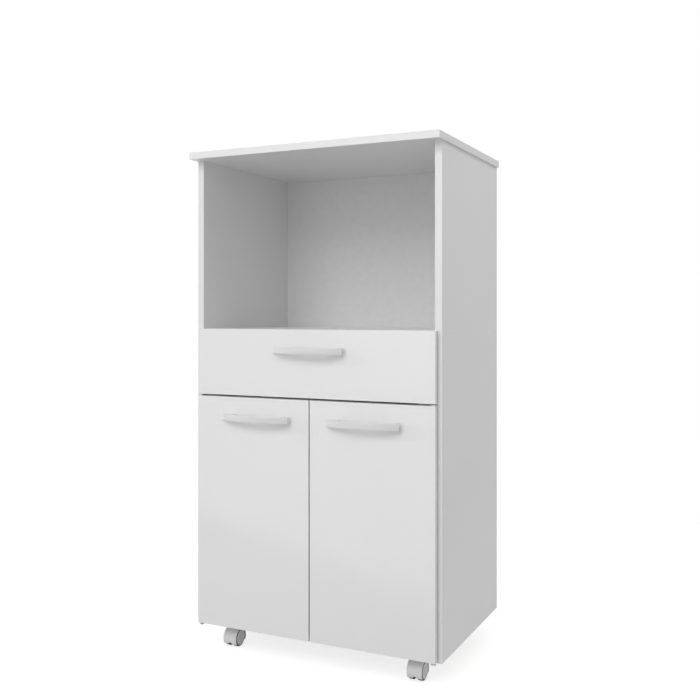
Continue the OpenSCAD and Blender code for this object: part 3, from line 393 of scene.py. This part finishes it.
def bow_handle(name, node, body):
    """A bow handle over the CAD one: its outline stands up along z, and its upper and lower
    edges are rounded. At the angle a of the rounding, the outline moves inwards along its
    own normal by HANDLE_EDGE (1 - cos a), and it lies HANDLE_EDGE (1 - sin a) below the
    upper face or above the lower one. The sign of the outline's area, the sum of
    x dy - y dx, says which side of it is inside."""
    low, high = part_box(node)
    half = bow_outline(high.x - low.x, high.y - low.y)
    outline = np.concatenate([half, (half * [-1, 1])[::-1][1:-1]])
    following = np.roll(outline, -1, axis=0)
    along = following - np.roll(outline, 1, axis=0)
    area = np.sum(outline[:, 0] * following[:, 1] - following[:, 0] * outline[:, 1])
    inward = np.stack([-along[:, 1], along[:, 0]], axis=-1)
    inward = inward / np.linalg.norm(along, axis=1)[:, None] * np.sign(area)
    turn = np.linspace(0, np.pi / 2, 6)
    step = np.concatenate([1 - np.cos(turn[::-1]), 1 - np.cos(turn)]) * HANDLE_EDGE
    height = (high.z - low.z) / 2 - HANDLE_EDGE * (1 - np.sin(turn))
    height = np.concatenate([-height[::-1], height])
    flat = outline[None] + inward[None] * step[:, None, None]
    flat[:, :, 1] = np.maximum(flat[:, :, 1], 0)
    upright = np.broadcast_to(height[:, None] + (low.z + high.z) / 2, flat.shape[:2])
    across = flat[:, :, 0] + (low.x + high.x) / 2
    outward = high.y - flat[:, :, 1]
    piece = surface(name, np.stack([across, outward, upright], axis=-1), HANDLE)
    piece.data.shade_smooth()
    piece.data.set_sharp_from_angle(angle=math.radians(40))
    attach(piece, body)
    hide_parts(node)


# ---------------------------------------------------------------- light, floor and camera

FLOOR_HALF = 7.0            # half of the floor's side, in metres
FLOOR_MATT = 0.5            # what the seen floor reflects, which carries the shadow
FLOOR_GLOW = 0.74           # what is added to it, so that it looks white
FLOOR_FADE = (0.9, 1.8)     # distances between which it turns into plain white
FLOOR_PALE = 0.68           # the floor's colour for the light that it throws back

PICTURE = 700               # side of the photograph, in pixels
CAMERA_PLACE = (0.9086, -1.8863, 0.7615)
CAMERA_TURN = 0.446         # how far it is turned to the left, in radians
CAMERA_LENS = 46.32         # in millimetres, for a sensor 36 mm wide
HORIZON_RISE = 35.84        # how far the horizon lies above the picture's middle, in pixels

MIDDLE = (0, 0, 0.6)        # what most lamps are turned to


def lamp(name, place, target, size, power, spread=180):
    """A soft rectangular lamp at place, turned towards target, with its power in watts and
    the spread of its beam in degrees."""
    data = bpy.data.lights.new(name, "AREA")
    data.shape = "RECTANGLE"
    data.size, data.size_y = size
    data.energy = power
    data.spread = math.radians(spread)
    lamp_object = bpy.data.objects.new(name, data)
    bpy.context.scene.collection.objects.link(lamp_object)
    direction = np.array(target, float) - np.array(place, float)
    lamp_object.rotation_euler = Vector(direction).to_track_quat("-Z", "Y").to_euler()
    lamp_object.location = place


def seen_rays(tree):
    """1 for camera, glossy and transmission rays, 0 for the rest."""
    path = tree.nodes.new("ShaderNodeLightPath")
    some = math_node(tree, "MAXIMUM", path.outputs["Is Camera Ray"], path.outputs["Is Glossy Ray"])
    return math_node(tree, "MAXIMUM", some, path.outputs["Is Transmission Ray"])


def white_floor():
    """A wide pale floor, which looks white, keeps a soft shadow of the object and fades
    into the white background away from it."""
    mesh = bpy.data.meshes.new("floor")
    corners = [(x * FLOOR_HALF, y * FLOOR_HALF, 0) for x, y in ((-1, -1), (1, -1), (1, 1), (-1, 1))]
    mesh.from_pydata(corners, [], [(0, 1, 2, 3)])
    floor = bpy.data.objects.new("floor", mesh)
    bpy.context.scene.collection.objects.link(floor)
    material = bpy.data.materials.new("floor")
    material.use_nodes = True
    tree = material.node_tree
    tree.nodes.clear()
    matt = tree.nodes.new("ShaderNodeBsdfDiffuse")
    matt.inputs["Color"].default_value = (FLOOR_MATT, FLOOR_MATT, FLOOR_MATT, 1)
    glow = tree.nodes.new("ShaderNodeEmission")
    glow.inputs["Strength"].default_value = FLOOR_GLOW
    both = tree.nodes.new("ShaderNodeAddShader")
    tree.links.new(matt.outputs[0], both.inputs[0])
    tree.links.new(glow.outputs[0], both.inputs[1])
    away = tree.nodes.new("ShaderNodeVectorMath")
    away.operation = "LENGTH"
    tree.links.new(object_coordinates(tree), away.inputs[0])
    white = tree.nodes.new("ShaderNodeEmission")
    fade = tree.nodes.new("ShaderNodeMixShader")
    tree.links.new(between(tree, away.outputs["Value"], *FLOOR_FADE), fade.inputs[0])
    tree.links.new(both.outputs[0], fade.inputs[1])
    tree.links.new(white.outputs[0], fade.inputs[2])
    plain = tree.nodes.new("ShaderNodeBsdfDiffuse")
    plain.inputs["Color"].default_value = (FLOOR_PALE, FLOOR_PALE, FLOOR_PALE, 1)
    choose = tree.nodes.new("ShaderNodeMixShader")
    tree.links.new(seen_rays(tree), choose.inputs[0])
    tree.links.new(plain.outputs[0], choose.inputs[1])
    tree.links.new(fade.outputs[0], choose.inputs[2])
    out = tree.nodes.new("ShaderNodeOutputMaterial")
    tree.links.new(choose.outputs[0], out.inputs[0])
    mesh.materials.append(material)


def white_world(strength):
    """Even studio light of the given strength, which looks white where it is seen."""
    world = bpy.data.worlds.new("studio")
    bpy.context.scene.world = world
    world.use_nodes = True
    tree = world.node_tree
    background = tree.nodes["Background"]
    background.inputs["Color"].default_value = (1, 1, 1, 1)
    seen = between(tree, seen_rays(tree), 0, 1, out_low=strength, out_high=1.0)
    tree.links.new(seen, background.inputs["Strength"])


def add_camera():
    """The photograph's view, level, with its horizon moved up by a small shift."""
    data = bpy.data.cameras.new("camera")
    data.lens = CAMERA_LENS
    data.sensor_width = 36
    data.shift_y = -HORIZON_RISE / PICTURE
    camera = bpy.data.objects.new("camera", data)
    camera.location = CAMERA_PLACE
    camera.rotation_euler = (math.pi / 2, 0, CAMERA_TURN)
    bpy.context.scene.collection.objects.link(camera)
    bpy.context.scene.camera = camera


# ---------------------------------------------------------------- the scene

dress_cad_nodes()
for board in ("top_board", "left_side_panel", "right_side_panel", "niche_shelf", "bottom_board",
              "loose_shelf", "drawer_front", "left_door_panel", "right_door_panel"):
    ease_edges(board)

bow_handle("drawer_bow_handle", "drawer_handle", "drawer")
bow_handle("left_door_bow_handle", "left_door_handle", "left_door")
bow_handle("right_door_bow_handle", "right_door_handle", "right_door")

white_floor()
white_world(strength=0.5)
# The key and low lamps light the fronts. The side lamp hangs on the right and lights the right
# panel, its top the most. The back lamp serves the views from behind. The grazing lamp sends a
# narrow beam from the left along the fronts, which gives the handles their shadows.
lamp("key", place=(-0.4, -3.2, 3.0), target=MIDDLE, size=(2.6, 2.0), power=55)
lamp("low", place=(-0.6, -3.6, 1.2), target=MIDDLE, size=(1.8, 1.8), power=8)
lamp("side", place=(1.3, -0.2, 2.2), target=(0.3, 0, 1.0), size=(0.9, 0.9), power=4.3)
lamp("back", place=(-2.0, 2.8, 2.4), target=MIDDLE, size=(2.0, 1.6), power=9)
lamp("grazing", place=(-0.75, -0.41, 0.917), target=(3.25, 0.59, 0.017), size=(0.23, 0.97),
     power=0.175, spread=8)
add_camera()
bpy.context.scene.view_settings.view_transform = "Standard"
